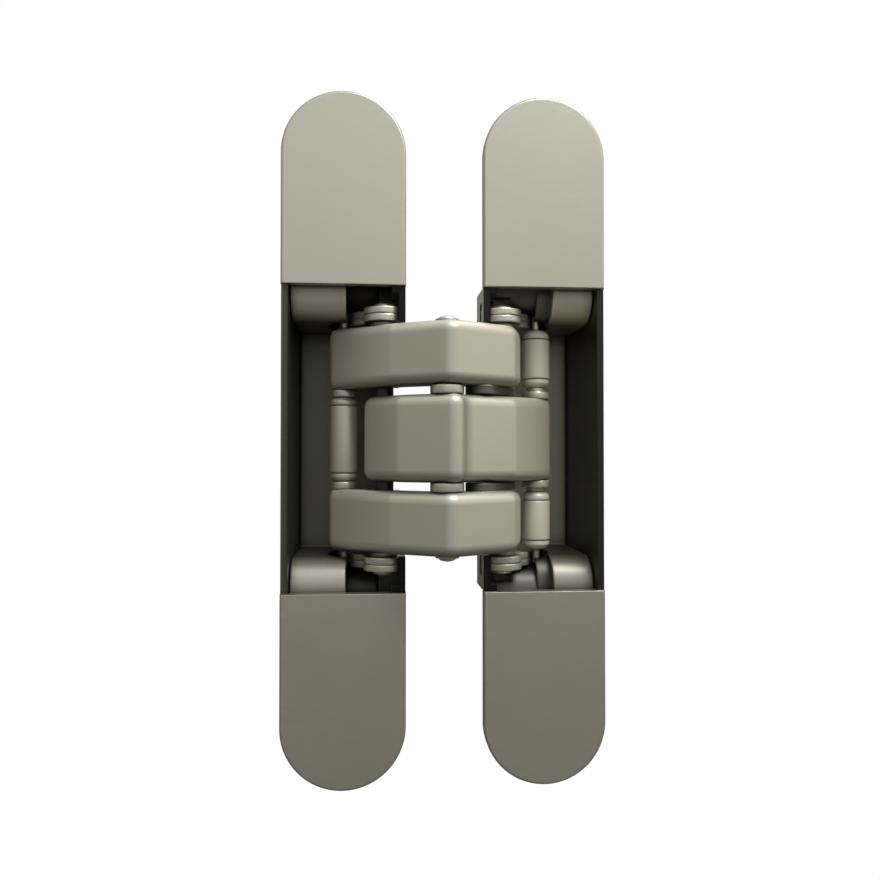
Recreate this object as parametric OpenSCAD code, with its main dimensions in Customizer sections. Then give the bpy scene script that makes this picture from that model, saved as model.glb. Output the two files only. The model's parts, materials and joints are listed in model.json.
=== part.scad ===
// Concealed door hinge: two mortised housings joined by a pair of crossed arms.
// X runs from the frame half to the door half, Y runs into the mortise, Z is up.
// The drawing shows the hinge laid open at 180 degrees.

/* [Housings] */
// Height of each face, covers included
face_h = 134; // [126:1:150]
// Width of each face
face_w = 24; // [23.5:0.5:28]
// Distance between the two faces when open
side_gap = 15; // [14.5:0.5:18]
// Depth of the shallow ends that carry the fixing screws
flange_d = 11; // [10:0.5:14]
// Depth of the deep middle of each housing
case_d = 29.6; // [29.6:0.2:36]
// Height of the deep middle of each housing
case_h = 84; // [82:1:90]
// Thickness of the housing walls
wall_t = 1.3; // [1:0.1:1.6]
// Thickness of the floor under the fixing screws
floor_t = 2.5; // [2:0.1:3.5]
// Thickness of the back of the deep middle
case_back_t = 1.4; // [1.2:0.1:2]
// Distance of the housing rims inside the cover outline, beside the window
rim_inset = 0.1; // [0.05:0.05:0.4]
// Distance of the shallow ends inside the cover outline
end_inset = 1.4; // [1:0.1:1.5]
// Step of the deep middle behind the rim beside the arms
case_step = 3.8; // [3:0.1:4]
// Depth of the housing rim behind the cover face
rim_y = 0.6; // [0.2:0.1:1.2]
// Height of the window between the covers
window_h = 59.2; // [58:0.2:64]
// Clearance above the arms in the opening of the inner wall
relief_fit = 0.7; // [0.6:0.1:0.8]
// Depth of the arm opening in the inner wall
relief_d = 11; // [10.5:0.5:14]
// Depth setting: one housing forward and the other back by this much
depth_set = 0; // [0:0.1:1.5]

/* [Covers] */
// Thickness of the covers
cover_t = 2; // [1.6:0.1:2.4]
// Rounding of the cover edges
cover_edge = 0.7; // [0.3:0.1:1]

/* [Linkage] */
// Distance of a housing pivot from the edge of its face
pivot_in = 4.2; // [4:0.1:4.6]
// Depth of a housing pivot
pivot_y = 4.8; // [4.5:0.1:5.4]
// Distance of an open guide pin from the middle of its face
guide_x = -0.2; // [-0.8:0.1:0.4]
// Depth of an open guide pin
guide_y = 10; // [9.5:0.1:10.5]
// Reach of the centre pin in front of the faces when open
center_out = 4.7; // [4.2:0.1:5.2]
// Distance left between the faces when closed
closed_gap = 4; // [3.5:0.1:5]

/* [Arms] */
// Height of the middle arm
mid_h = 16.6; // [14:0.2:18]
// Gap between the middle arm and an outer arm
arm_gap = 1.7; // [1.6:0.1:2.4]
// Height of each outer arm
outer_h = 12; // [10.5:0.1:12.2]
// Radius of an arm at its guided end
end_r = 2.9; // [2.6:0.1:3]
// Radius of an arm at its bends
bend_r = 3.6; // [3.4:0.1:3.7]
// Distance from the centre pin to the bend near the guided end of an outer arm
outer_near_x = 8.6; // [8:0.1:9]
// Distance from the centre pin to the bend near the eye of an outer arm
outer_far_x = 10.8; // [10:0.1:11]
// Distance from the centre pin to the bend near the guided end of the middle arm
mid_near_x = 11.3; // [10.5:0.1:11.5]
// Distance from the centre pin to the bend near the eye of the middle arm
mid_far_x = 7; // [6.5:0.1:7.5]
// Drop of an arm towards its guided end, to each millimetre of its length
near_drop = 0.57; // [0.54:0.01:0.6]
// Drop of an arm towards its eye, to each millimetre of its length
far_drop = 0.53; // [0.5:0.01:0.56]
// Radius of an arm round the centre pin
nose_r = 3.8; // [3.6:0.1:4]
// Radius of an arm round its housing pivot
eye_r = 3.8; // [3.5:0.1:4]
// Rounding of the arm edges
arm_edge = 1.5; // [0.8:0.1:1.7]
// Step beside the hub of the middle arm
hub_step = 1.1; // [0:0.1:1.2]

/* [Pivots] */
// Radius of the housing pivot pins
pivot_r = 1.9; // [1.7:0.05:1.95]
// Radius of the centre pin
center_r = 2.2; // [1.8:0.1:2.4]
// Radius of the guide pins
guide_r = 1.3; // [1.1:0.05:1.35]
// Radius of the thin ends of the guide pins
spigot_r = 0.75; // [0.6:0.05:0.9]
// Radius of the barrels on the guide pins
barrel_r = 2.85; // [2.5:0.05:2.9]
// Running clearance of a pin in its bore
run_fit = 0.05; // [0.03:0.01:0.08]
// Clearance of a pin that is fixed in its bore
fixed_fit = 0.02; // [0.01:0.01:0.03]
// Clearance of a guide pin in its slot
slot_fit = 0.25; // [0.2:0.05:0.35]

/* [Plates and carriages] */
// Gap between an outer arm and the pivot plates
plate_gap = 1; // [0.9:0.1:1.4]
// Radius of a pivot plate round its pin
plate_r = 4; // [3.6:0.1:4]
// Thickness of a pair of pivot plates
plate_t = 2.7; // [2.4:0.1:3]
// Depth of the seam between the two plates of a pair
seam = 0.2; // [0.1:0.05:0.3]
// Side clearance between a carriage and its housing
carriage_fit = 0.3; // [0.2:0.05:0.5]
// Thickness of the carriage back
back_t = 1.4; // [1.2:0.1:1.6]
// Clearance between the carriage back and the case, at the depth setting drawn
back_fit = 0.3; // [0.2:0.05:0.5]
// Depth of the supports in the frame carriage
frame_support_y = 13; // [12:0.5:14]
// Step of the supports behind the blocks in the door carriage
door_support_step = 3; // [2:0.5:4]
// Width of the stepped strip beside the blocks in the door carriage
door_strip = 2.7; // [2:0.1:3]
// Rounding of the carriage blocks
block_r = 6; // [4:0.5:7]
// Clearance between a carriage block and the covers
block_fit = 0.8; // [0.5:0.1:1.2]

/* [Screws] */
// Distance of the fixing holes from the middle of the face
hole_x = 5.2; // [4.8:0.1:5.6]
// Height of the fixing holes above the middle of the face
hole_z = 55; // [53:0.5:56]
// Radius of the fixing holes
hole_r = 2.3; // [2:0.1:2.5]
// Radius of the countersinks
sink_r = 4; // [3.6:0.1:4.2]
// Radius of the screw heads
head_r = 3.1; // [2.8:0.1:3.2]
// Radius of the screw shanks
shank_r = 2; // [1.8:0.1:2.1]

/* [Hidden] */
$fn = 48;
half_span = (face_w + side_gap) / 2;
front_y = -flange_d;
link_y = front_y + depth_set;
body_w = face_w - 2 * rim_inset;
inner_w = body_w - 2 * wall_t;
end_w = face_w - 2 * end_inset;
end_h = face_h - 2 * end_inset;
pocket_y = flange_d - floor_t;
ledge_y = flange_d - case_back_t;
case_in = body_w / 2 - case_step;
case_floor = case_d - case_back_t;
back_y = case_floor - depth_set - back_fit - back_t;
frame_block_y = cover_t - depth_set + block_fit;
door_block_y = cover_t + depth_set + block_fit;
carriage_w = inner_w - 2 * carriage_fit;
carriage_h = case_h - 2 * wall_t - 2 * carriage_fit;
carriage_in = end_w / 2 - wall_t - carriage_fit;
carriage_deep = case_in - wall_t - carriage_fit;
mid_top = mid_h / 2;
outer_low = mid_top + arm_gap;
outer_top = outer_low + outer_h;
relief_h = 2 * (outer_top + relief_fit);
plate_low = outer_top + plate_gap;
plate_top = plate_low + plate_t;
pin_slack = 0.3;
face_slack = 0.05;
rivet_h = 1;
center_head = 0.9;
washer_t = 1.5;
barrel_low = mid_top + washer_t + 0.9;
pivot = [face_w / 2 - pivot_in, pivot_y];
guide = [guide_x, guide_y];
center = [half_span, -center_out];
far_pivot = [2 * half_span - pivot.x, pivot.y];
reach = norm(center - pivot);
closed_drop = closed_gap / 2 + pivot_y;
swing = 180 - asin(closed_drop / reach) - atan2(center_out + pivot_y, center.x - pivot.x);
scissor = 2 * swing - 180;
notch_r = pivot_r + pin_slack;
notch_a = atan2(pivot.y - center.y, pivot.x - center.x);
slot_r = spigot_r + slot_fit;
slot_n = 20;
slot_from = 0.3;
block_low = plate_low + 0.6;
block_x = guide_x + 0.5;
screw_x = -5.2;
screw_z = carriage_h / 2 - 6.9;
height_z = case_h / 2 + 4;
tip = plate_top - 0.2;
steel = [0.78, 0.77, 0.73];
satin = [0.66, 0.65, 0.60];
dark = [0.30, 0.30, 0.29];

function turn(v, a) = [v.x * cos(a) - v.y * sin(a), v.x * sin(a) + v.y * cos(a)];
function center_at(t) = pivot + turn(center - pivot, -swing * t);
function guide_at(t) = center_at(t) + turn(guide - center, (scissor - swing) * t);
function guide_dir(t) = guide_at(t + 0.01) - guide_at(t - 0.01);
function guide_side(t, s) = guide_at(t) + turn(guide_dir(t), s * 90) * slot_r / norm(guide_dir(t));
function heading(t) = atan2(guide_dir(t).y, guide_dir(t).x);
function dome(r, h) = concat([[0, 0]], [for (i = [0 : 5]) [r * cos(18 * i), h * sin(18 * i)]]);
function corner(r, e, n) = [for (i = [0 : n]) [r - e + e * sin(90 * i / n), e - e * cos(90 * i / n)]];

// Places drawn in the frame housing, measured from its face
module frame_side() {
    translate([0, front_y, 0]) children();
}

// Places drawn in the door housing, mirrored across the hinge
module door_side() {
    translate([2 * half_span, link_y + depth_set, 0]) mirror([1, 0, 0]) children();
}

// Places drawn on the linkage, in the frame half
module frame_link() {
    translate([0, link_y, 0]) children();
}

// Places drawn on the linkage, in the door half
module door_link() {
    translate([2 * half_span, link_y, 0]) mirror([1, 0, 0]) children();
}

// A drawing above the middle, turned over to sit below it
module below() {
    mirror([0, 0, 1]) children();
}

// A plate with full round ends, standing on edge
module stadium(w, h, y0, y1) {
    translate([-w / 2, y0, -(h - w) / 2]) cube([w, y1 - y0, h - w]);
    for (s = [-1, 1]) translate([0, y0, s * (h - w) / 2]) rotate([-90, 0, 0]) cylinder(d = w, h = y1 - y0);
}

// A drilled hole or rod along the depth
module along_depth(p, r, y0, y1) {
    translate([p.x, y0, p.y]) rotate([-90, 0, 0]) cylinder(r = r, h = y1 - y0);
}

// A standing rod between two heights
module rod(p, r, z0, z1) {
    translate([p.x, p.y, z0]) cylinder(r = r, h = z1 - z0);
}

// A standing tube between two heights
module tube(p, r, bore, z0, z1) {
    difference() {
        rod(p, r, z0, z1);
        rod(p, bore, z0 - 1, z1 + 1);
    }
}

// One cover, above the window
module cover() {
    lift = (face_h - face_w) / 2;
    edge = corner(face_w / 2, cover_edge, 3);
    flip = [for (i = [len(edge) - 1 : -1 : 0]) [-edge[i].x, edge[i].y]];
    translate([0, 0, window_h / 2]) linear_extrude(lift - window_h / 2)
        polygon(concat(edge, [[face_w / 2, cover_t], [-face_w / 2, cover_t]], flip));
    translate([0, 0, lift]) rotate([-90, 0, 0]) rotate_extrude()
        polygon(concat([[0, 0]], edge, [[face_w / 2, cover_t], [0, cover_t]]));
}

// A box across the housing, centred on its width and height
module across(w, h, y0, y1) {
    translate([-w / 2, y0, -h / 2]) cube([w, y1 - y0, h]);
}

// The part of a drawing on the outer side of a standing plane
module outer_of(x) {
    intersection() {
        translate([x - face_w, -flange_d, -face_h]) cube([face_w, 2 * case_d, 2 * face_h]);
        children();
    }
}

// Room in the rims for the round ends of the pivot plates and the rivet heads
module plate_room() {
    room_top = plate_top + rivet_h + pin_slack;
    for (s = [0, 1], d = [-1, 1]) mirror([0, 0, s])
        rod([pivot.x, pivot.y + d * depth_set], plate_r + pin_slack, outer_top, room_top);
}

// A case with a deep middle, shallow ends, an arm opening and countersunk fixing holes
module housing() {
    boss_y = 4.8;
    difference() {
        union() {
            difference() {
                union() {
                    stadium(end_w, end_h, cover_t, flange_d);
                    across(body_w, window_h, rim_y, flange_d);
                    outer_of(case_in) stadium(body_w, case_h, cover_t, case_d);
                }
                stadium(end_w - 2 * wall_t, end_h - 2 * wall_t, -1, pocket_y);
                across(inner_w, window_h - 2 * wall_t, -1, ledge_y);
                outer_of(case_in - wall_t) stadium(inner_w, case_h - 2 * wall_t, -1, case_floor);
            }
            for (s = [-1, 1]) along_depth([0, s * height_z], head_r + 0.9, boss_y, pocket_y + 0.5);
        }
        translate([inner_w / 2 - 1, -1, -relief_h / 2]) cube([wall_t + 3, relief_d + 1, relief_h]);
        plate_room();
        for (x = [-1, 1], z = [-1, 1]) {
            along_depth([x * hole_x, z * hole_z], hole_r, 0, flange_d + 1);
            translate([x * hole_x, pocket_y - 0.01, z * hole_z]) rotate([-90, 0, 0])
                cylinder(r1 = sink_r, r2 = hole_r, h = sink_r - hole_r);
        }
        for (s = [-1, 1]) {
            along_depth([0, s * height_z], shank_r + fixed_fit, 0, flange_d + 1);
            along_depth([screw_x, s * screw_z], shank_r + fixed_fit, 0, case_d + 1);
        }
    }
}

// The curved slot that a guide pin runs along as the hinge closes
module slot() {
    tall = plate_top + pin_slack;
    cap = [for (i = [1 : 11]) guide_at(1) + turn([slot_r, 0], heading(1) - 90 + 15 * i)];
    left = [for (i = [0 : slot_n]) guide_side(slot_from + (1 - slot_from) * i / slot_n, -1)];
    right = [for (i = [slot_n : -1 : 0]) guide_side(slot_from + (1 - slot_from) * i / slot_n, 1)];
    translate([0, 0, outer_top]) linear_extrude(tall - outer_top) polygon(concat(left, cap, right));
    for (i = [0 : 6]) rod(guide_at(slot_from * i / 6), slot_r, outer_top, tall);
}

// Outline of a pivot plate between two heights, drawn smaller by an inset
module plate_layer(z0, z1, inset) {
    left = block_x + face_slack;
    right = carriage_deep - 0.6 - inset;
    rod(pivot, plate_r - inset, z0, z1);
    translate([0, 0, z0]) linear_extrude(z1 - z0)
        polygon([[left, back_y], [left, guide_y + slot_r + 0.3],
            [guide_x + slot_r + 1, guide_y - 1.4 + inset], [pivot.x - 2.6, pivot.y + 1.4 + inset],
            [pivot.x + 2.9 - inset, pivot.y + 1.4], [right, pocket_y - carriage_fit], [right, back_y]]);
}

// A riveted pair of pivot plates with the guide slot, above the arms
module plate() {
    half = plate_t / 2;
    difference() {
        union() {
            plate_layer(plate_low, plate_low + half - seam / 2, 0);
            plate_layer(plate_low + half - seam / 2, plate_low + half + seam / 2, seam);
            plate_layer(plate_low + half + seam / 2, plate_top, 0);
        }
        slot();
        rod(pivot, pivot_r + fixed_fit, plate_low - 1, plate_top + 1);
    }
}

// A block whose front edge rolls over to its end face
module rolled_block(x0, x1, front, low) {
    tall = carriage_h / 2 - low;
    wide = x1 - x0;
    deep = back_y + 0.5 - front;
    intersection() {
        stadium(carriage_w, carriage_h, front, front + deep);
        translate([x0, front, low]) union() {
            translate([0, 0, block_r]) cube([wide, deep, tall]);
            translate([0, block_r, 0]) cube([wide, deep - block_r, tall]);
            translate([0, block_r, block_r]) rotate([0, 90, 0]) cylinder(r = block_r, h = wide);
        }
    }
}

// The adjustable carriage: a back, slotted blocks on the outer half and supports on the inner half
module carriage(outer_front, inner_front, strip) {
    deep_y = pocket_y - depth_set - carriage_fit;
    difference() {
        union() {
            stadium(carriage_w, carriage_h, back_y, back_y + back_t);
            for (s = [0, 1]) mirror([0, 0, s]) {
                rolled_block(-carriage_w / 2, block_x - strip, outer_front, block_low);
                rolled_block(block_x - strip - 0.5, block_x, inner_front, block_low);
                rolled_block(block_x - 0.5, carriage_in, inner_front, plate_top);
            }
        }
        translate([carriage_deep, deep_y, -carriage_h]) cube([face_w, case_d, 2 * carriage_h]);
        for (s = [0, 1]) mirror([0, 0, s]) {
            slot();
            rod(pivot, pivot_r + 1.2, plate_top - 1, plate_top + 3);
            along_depth([screw_x, screw_z], shank_r + run_fit, 0, back_y + back_t + 1);
            along_depth([screw_x, screw_z], head_r + 0.2, 0, outer_front + 2.4);
        }
    }
}

// A fixed pivot pin with a round rivet head at each end
module pivot_pin() {
    rod(pivot, pivot_r, -plate_top, plate_top);
    for (s = [0, 1]) mirror([0, 0, s]) translate([pivot.x, pivot.y, plate_top]) rotate_extrude()
        polygon(dome(pivot_r + 0.9, rivet_h));
}

// Washers on a pivot pin, between the outer arms and the plates
module pivot_washers() {
    for (s = [0, 1]) mirror([0, 0, s])
        tube(pivot, pivot_r + 0.8, pivot_r + fixed_fit, outer_top + face_slack, plate_low);
}

// A guide pin with a low round head and a thin end above and below
module guide_pin(head_low) {
    rod(guide, guide_r, -head_low, head_low);
    rod(guide, spigot_r, -tip, tip);
    for (s = [0, 1]) mirror([0, 0, s]) translate([guide.x, guide.y, head_low]) rotate_extrude()
        polygon(dome(guide_r + 0.3, plate_low - pin_slack - head_low));
}

// A barrel with cut-back ends on a guide pin
module barrel(z0, z1) {
    cut = 0.8;
    difference() {
        translate([guide.x, guide.y, z0]) rotate_extrude()
            polygon([[0, 0], [barrel_r - cut, 0], [barrel_r, cut], [barrel_r, z1 - z0 - cut],
                [barrel_r - cut, z1 - z0], [0, z1 - z0]]);
        rod(guide, guide_r + fixed_fit, z0 - 1, z1 + 1);
    }
}

// A clamp screw with a hexagon socket
module clamp_screw(outer_front, last) {
    seat = outer_front + 2.4;
    difference() {
        union() {
            along_depth([screw_x, screw_z], head_r, seat - 2.2, seat);
            along_depth([screw_x, screw_z], shank_r, seat - 0.1, last);
        }
        translate([screw_x, seat - 2.3, screw_z]) rotate([-90, 0, 0]) cylinder(r = 1.5, h = 1.5, $fn = 6);
    }
}

// A height screw with a hexagon socket
module height_screw() {
    difference() {
        union() {
            along_depth([0, height_z], head_r, cover_t + 0.6, 4.8);
            along_depth([0, height_z], shank_r, 4.7, flange_d - 0.3);
        }
        translate([0, cover_t + 0.5, height_z]) rotate([-90, 0, 0]) cylinder(r = 1.5, h = 1.4, $fn = 6);
    }
}

// A round boss of an arm with softened edges
module boss(p, r, z0, z1) {
    low = corner(r, arm_edge, 3);
    high = [for (i = [3 : -1 : 0]) [low[i].x, z1 - z0 - low[i].y]];
    translate([p.x, p.y, z0]) rotate_extrude($fn = 32) polygon(concat([[0, 0]], low, high, [[0, z1 - z0]]));
}

// A bent arm from its guided end, over the centre pin, to its eye
module arm(z0, z1, near_x, far_x, center_fit, step) {
    bend_near = [center.x - near_x, center.y + near_drop * near_x];
    bend_far = [center.x + far_x, center.y + far_drop * far_x];
    difference() {
        union() {
            hull() {
                boss(guide, end_r, z0, z1);
                boss(bend_near, bend_r, z0, z1);
            }
            hull() {
                boss(bend_near, bend_r, z0, z1);
                boss(center, nose_r - step, z0, z1);
            }
            hull() {
                boss(center, nose_r, z0, z1);
                boss(bend_far, bend_r, z0, z1);
            }
            hull() {
                boss(bend_far, bend_r, z0, z1);
                boss(far_pivot, eye_r, z0, z1);
            }
        }
        rod(guide, guide_r + fixed_fit, z0 - 1, z1 + 1);
        rod(center, center_r + center_fit, z0 - 1, z1 + 1);
        rod(far_pivot, pivot_r + run_fit, z0 - 1, z1 + 1);
        rod(pivot, notch_r, z0 - 1, z1 + 1);
        translate([center.x, center.y, z0 - 1]) rotate([0, 0, notch_a - 50])
            rotate_extrude(angle = 50) translate([reach - notch_r, 0]) square([2 * notch_r, z1 - z0 + 2]);
    }
}

// An outer arm with a spacer that fills the gap to the middle arm beside the eye
module outer_arm() {
    spacer_r = 2.8;
    spacer_low = mid_top + 3 * face_slack;
    spacer_from = [center.x + 6.6, center.y + far_drop * 6.6];
    arm(outer_low, outer_top, outer_near_x, outer_far_x, run_fit, 0);
    difference() {
        hull() {
            rod(spacer_from, spacer_r, spacer_low, outer_low + arm_edge);
            rod(far_pivot, spacer_r, spacer_low, outer_low + arm_edge);
        }
        rod(far_pivot, pivot_r + run_fit, spacer_low - 1, outer_top);
    }
}

// Case sunk in the door frame
module frame_housing() {
    color(satin) frame_side() housing();
}

// Cover over the upper end of the frame housing
module frame_upper_cover() {
    color(satin) frame_side() cover();
}

// Cover over the lower end of the frame housing
module frame_lower_cover() {
    color(satin) frame_side() below() cover();
}

// Adjustable carriage in the frame housing
module frame_carriage() {
    color(satin) frame_link() carriage(frame_block_y, frame_support_y, 0);
}

// Upper pair of pivot plates in the frame housing
module frame_upper_plate() {
    color(steel) frame_link() plate();
}

// Lower pair of pivot plates in the frame housing
module frame_lower_plate() {
    color(steel) frame_link() below() plate();
}

// Pin on which the middle arm swings
module frame_pivot_pin() {
    color(steel) frame_link() pivot_pin();
}

// Washers on the pin of the middle arm
module frame_pivot_washers() {
    color(steel) frame_link() pivot_washers();
}

// Screws that clamp the frame carriage
module frame_clamp_screws() {
    last = case_d - depth_set - 0.2;
    color(dark) frame_link() for (s = [0, 1]) mirror([0, 0, s]) clamp_screw(frame_block_y, last);
}

// Screws that set the height of the frame carriage
module frame_height_screws() {
    color(dark) frame_side() for (s = [0, 1]) mirror([0, 0, s]) height_screw();
}

// Upper one of the two outer arms
module upper_arm() {
    color(satin) frame_link() outer_arm();
}

// Lower one of the two outer arms
module lower_arm() {
    color(satin) frame_link() below() outer_arm();
}

// Guide pin at the deep end of the outer arms
module frame_guide_pin() {
    color(steel) frame_link() guide_pin(outer_top);
}

// Barrel between the outer arms on their guide pin
module frame_guide_barrel() {
    color(satin) frame_link() barrel(washer_t - outer_low, outer_low - washer_t);
}

// Washers between the outer arms and their barrel
module frame_guide_washers() {
    color(steel) frame_link() for (s = [0, 1]) mirror([0, 0, s])
        tube(guide, barrel_r - 0.35, guide_r + fixed_fit, outer_low - washer_t, outer_low);
}

// Arm between the two outer arms
module middle_arm() {
    color(satin) door_link() arm(-mid_top, mid_top, mid_near_x, mid_far_x, fixed_fit, hub_step);
}

// Pin on which the arms cross, with a rounded end above and below
module center_pin() {
    color(steel) frame_link() {
        rod(center, center_r, -outer_top - pin_slack, outer_top + pin_slack);
        for (s = [0, 1]) mirror([0, 0, s])
            translate([center.x, center.y, outer_top + pin_slack]) rotate_extrude()
                polygon(dome(center_r - pin_slack, center_head));
    }
}

// Washers between the arms on the centre pin
module center_washers() {
    color(steel) frame_link() for (s = [0, 1]) mirror([0, 0, s])
        tube(center, nose_r - 0.6, center_r + fixed_fit, mid_top, outer_low - face_slack);
}

// Guide pin at the deep end of the middle arm
module door_guide_pin() {
    color(steel) door_link() guide_pin(outer_top + 0.3);
}

// Barrel above the middle arm on its guide pin
module door_upper_barrel() {
    color(satin) door_link() barrel(barrel_low, outer_top + 0.3);
}

// Barrel below the middle arm on its guide pin
module door_lower_barrel() {
    color(satin) door_link() barrel(-outer_top - 0.3, -barrel_low);
}

// Stepped washers between the middle arm and its barrels
module door_guide_washers() {
    color(steel) door_link() for (s = [0, 1]) mirror([0, 0, s]) {
        tube(guide, barrel_r, guide_r + fixed_fit, mid_top, mid_top + washer_t);
        tube(guide, barrel_r - 0.9, guide_r + fixed_fit, mid_top + washer_t - 0.1, barrel_low);
    }
}

// Case sunk in the door
module door_housing() {
    color(satin) door_side() housing();
}

// Cover over the upper end of the door housing
module door_upper_cover() {
    color(satin) door_side() cover();
}

// Cover over the lower end of the door housing
module door_lower_cover() {
    color(satin) door_side() below() cover();
}

// Adjustable carriage in the door housing
module door_carriage() {
    color(satin) door_link() carriage(door_block_y, door_block_y + door_support_step, door_strip);
}

// Upper pair of pivot plates in the door housing
module door_upper_plate() {
    color(steel) door_link() plate();
}

// Lower pair of pivot plates in the door housing
module door_lower_plate() {
    color(steel) door_link() below() plate();
}

// Pin on which the outer arms swing
module door_pivot_pin() {
    color(steel) door_link() pivot_pin();
}

// Washers between the outer arms and the plates of the door half
module door_pivot_washers() {
    color(steel) door_link() pivot_washers();
}

// Screws that clamp the door carriage
module door_clamp_screws() {
    last = case_d + depth_set - 0.2;
    color(dark) door_link() for (s = [0, 1]) mirror([0, 0, s]) clamp_screw(door_block_y, last);
}

// Screws that set the height of the door carriage
module door_height_screws() {
    color(dark) door_side() for (s = [0, 1]) mirror([0, 0, s]) height_screw();
}

frame_housing();
frame_upper_cover();
frame_lower_cover();
frame_carriage();
frame_upper_plate();
frame_lower_plate();
frame_pivot_pin();
frame_pivot_washers();
frame_clamp_screws();
frame_height_screws();
upper_arm();
lower_arm();
frame_guide_pin();
frame_guide_barrel();
frame_guide_washers();
middle_arm();
center_pin();
center_washers();
door_guide_pin();
door_upper_barrel();
door_lower_barrel();
door_guide_washers();
door_housing();
door_upper_cover();
door_lower_cover();
door_carriage();
door_upper_plate();
door_lower_plate();
door_pivot_pin();
door_pivot_washers();
door_clamp_screws();
door_height_screws();
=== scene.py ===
"""Concealed door hinge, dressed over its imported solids.

The file is laid out as an add-on: sizes and finishes are properties, each group of pieces has an
operator, and main() calls the operators in order. Shapes are worked out in millimetres and put into
the meshes in metres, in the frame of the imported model: X from the frame half to the door half, Y into
the mortise, Z up.
"""

import json
import math

import bmesh
import bpy
import numpy as np
from bpy.props import FloatProperty, FloatVectorProperty, IntProperty, PointerProperty
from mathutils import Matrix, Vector

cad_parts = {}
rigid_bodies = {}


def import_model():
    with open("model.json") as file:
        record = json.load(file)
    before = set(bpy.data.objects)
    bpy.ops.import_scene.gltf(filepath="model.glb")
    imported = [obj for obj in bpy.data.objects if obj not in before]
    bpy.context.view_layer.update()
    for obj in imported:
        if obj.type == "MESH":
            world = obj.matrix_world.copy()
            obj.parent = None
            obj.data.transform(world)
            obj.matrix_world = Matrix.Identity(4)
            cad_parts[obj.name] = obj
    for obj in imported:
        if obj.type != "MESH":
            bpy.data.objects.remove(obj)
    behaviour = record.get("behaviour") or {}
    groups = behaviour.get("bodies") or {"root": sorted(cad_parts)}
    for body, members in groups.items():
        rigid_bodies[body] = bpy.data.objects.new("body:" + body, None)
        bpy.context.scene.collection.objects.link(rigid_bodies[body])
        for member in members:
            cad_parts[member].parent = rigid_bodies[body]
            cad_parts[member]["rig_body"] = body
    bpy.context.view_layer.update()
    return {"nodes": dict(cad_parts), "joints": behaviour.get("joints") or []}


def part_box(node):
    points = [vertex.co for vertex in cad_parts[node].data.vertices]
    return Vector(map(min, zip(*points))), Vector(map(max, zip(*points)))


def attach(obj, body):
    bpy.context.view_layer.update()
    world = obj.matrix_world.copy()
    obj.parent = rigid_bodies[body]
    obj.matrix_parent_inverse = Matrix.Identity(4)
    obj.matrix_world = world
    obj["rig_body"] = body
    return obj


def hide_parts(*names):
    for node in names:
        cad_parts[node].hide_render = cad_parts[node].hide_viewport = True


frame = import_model()

bl_info = {
    "name": "Concealed door hinge",
    "version": (1, 0, 0),
    "blender": (4, 5, 0),
    "location": "3D View > Sidebar > Hinge",
    "description": "Builds the covers, arms, pins and finishes of a concealed hinge",
    "category": "Object",
}

MM = 0.001
RIGHT_ANGLE = math.pi / 2
FULL_TURN = 2 * math.pi
SMOOTH_UP_TO = math.radians(35)
WELD = 1e-7
BLACK, WHITE = (0, 0, 0, 1), (1, 1, 1, 1)


def joint_point(name):
    """Place of a joint in millimetres, seen from above."""
    joint = next(j for j in frame["joints"] if j["name"] == name)
    return np.array(joint["pos_m"][:2]) / MM


def node_box(name):
    """Lowest and highest corner of a solid in millimetres."""
    low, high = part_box(name)
    return np.array(low) / MM, np.array(high) / MM


def node_axis(name):
    """Middle of a solid in millimetres, seen from above."""
    low, high = node_box(name)
    return (low + high)[:2] / 2


FRAME_PIVOT = joint_point("middle_arm_swing")
CROSSING = joint_point("arm_crossing")
DOOR_PIVOT = joint_point("door_swing")
FRAME_GUIDE = node_axis("frame_guide_pin")
DOOR_GUIDE = node_axis("door_guide_pin")
MID_TOP = node_box("middle_arm")[1][2]
OUTER_LOW = node_box("frame_guide_washers")[1][2]
OUTER_TOP = node_box("upper_arm")[1][2]
PLATE_LOW, PLATE_TOP = (corner[2] for corner in node_box("frame_upper_plate"))
WINDOW_TOP = node_box("frame_upper_cover")[0][2]


class HingeSizes(bpy.types.PropertyGroup):
    """Sizes of the dressed pieces, in millimetres."""

    arm_edge: FloatProperty(name="Arm edge", description="Rounding of the arms' long edges", default=2.1)
    arm_ridge: FloatProperty(name="Arm ridge", description="Rounding of the outer arms' ridges", default=3.0)
    ridge_shift: FloatProperty(name="Ridge shift", description="Shift of the outer ridges", default=0.6)
    hub_ridge: FloatProperty(name="Hub ridge", description="Rounding of the middle arm's hub", default=2.3)
    hub_shift: FloatProperty(name="Hub shift", description="Shift of the middle arm's hub", default=-1.0)
    arm_groove: FloatProperty(
        name="Arm groove", description="Rounding in the groove of the hub", default=5.0
    )
    arm_end: FloatProperty(
        name="Arm end", description="Share of the rounding at the guided ends", default=0.35
    )
    arm_inside: FloatProperty(
        name="Inner bend", description="Rounding of the arms' inner bends", default=1.2
    )
    hub_step: FloatProperty(
        name="Hub step", description="Step beside the hub of the middle arm", default=1.4
    )
    cover_edge: FloatProperty(name="Cover edge", description="Rounding of the covers' edges", default=0.5)
    cover_lip: FloatProperty(
        name="Cover lip", description="Rounding of the covers' window edges", default=0.15
    )
    pin_edge: FloatProperty(name="Pin edge", description="Rounding of the turned pieces", default=0.25)
    turns: IntProperty(name="Turns", description="Faces round a turned piece", default=64)


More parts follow.
